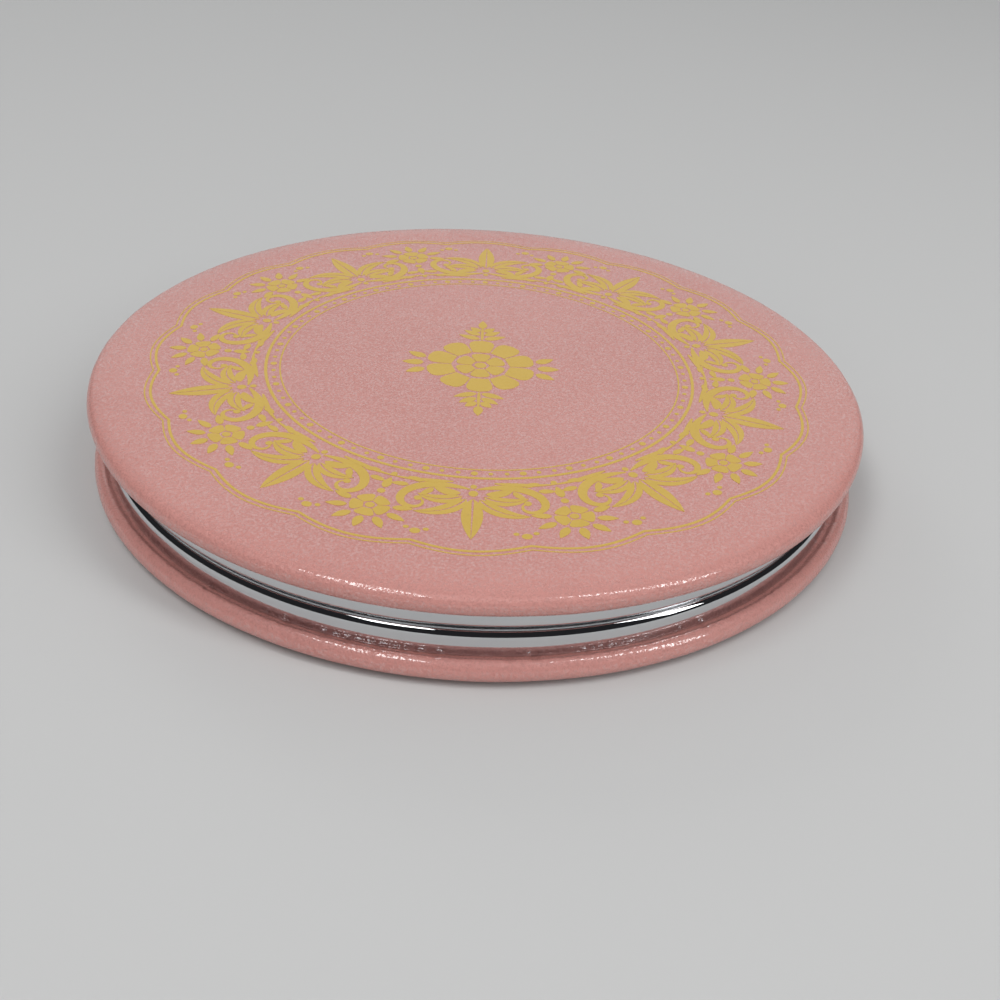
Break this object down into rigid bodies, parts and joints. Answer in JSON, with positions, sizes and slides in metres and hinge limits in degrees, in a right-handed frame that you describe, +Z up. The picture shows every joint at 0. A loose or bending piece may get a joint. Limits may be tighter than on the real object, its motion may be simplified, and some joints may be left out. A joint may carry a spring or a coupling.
{
  "type": "compact mirror",
  "caption": "Round pocket compact mirror: padded leather covers on a hinged chrome case that opens flat to a plain and a magnifying mirror.",
  "frame": {"origin": "centre of the flat underside of the base's pad, which the closed mirror rests on", "axes": "+Z up through the closed mirror, towards the lid's pad; the hinge is at +Y, the opening side at -Y"},
  "size_m": [0.07, 0.0717, 0.0086],
  "materials": {
    "pink_leather": "satin",
    "gold_foil": "satin",
    "pad_foam": "matte",
    "backing_board": "matte",
    "adhesive": "matte",
    "case_chrome": "polished",
    "mirror_glass": "polished",
    "magnet": "satin",
    "pin_steel": "polished"
  },
  "bodies": {
    "base": {"base_leather_cover": "pink_leather", "base_foam_pad": "pad_foam", "base_backing_board": "backing_board", "base_pad_adhesive": "adhesive", "base_case": "case_chrome", "base_mirror_adhesive": "adhesive", "base_magnifying_mirror": "mirror_glass", "base_magnet_left": "magnet", "base_magnet_right": "magnet", "hinge_pin": "pin_steel"},
    "lid": {"lid_leather_cover": "pink_leather", "lid_foam_pad": "pad_foam", "lid_backing_board": "backing_board", "lid_pad_adhesive": "adhesive", "lid_case": "case_chrome", "lid_mirror_adhesive": "adhesive", "lid_plain_mirror": "mirror_glass", "lid_magnet_left": "magnet", "lid_magnet_right": "magnet"}
  },
  "joints": [
    {"name": "lid_hinge", "type": "hinge", "parent": "base", "child": "lid", "pos_m": [0, 0.0352, 0.0043], "axis": [-1, 0, 0], "range_deg": [0, 180]}
  ]
}
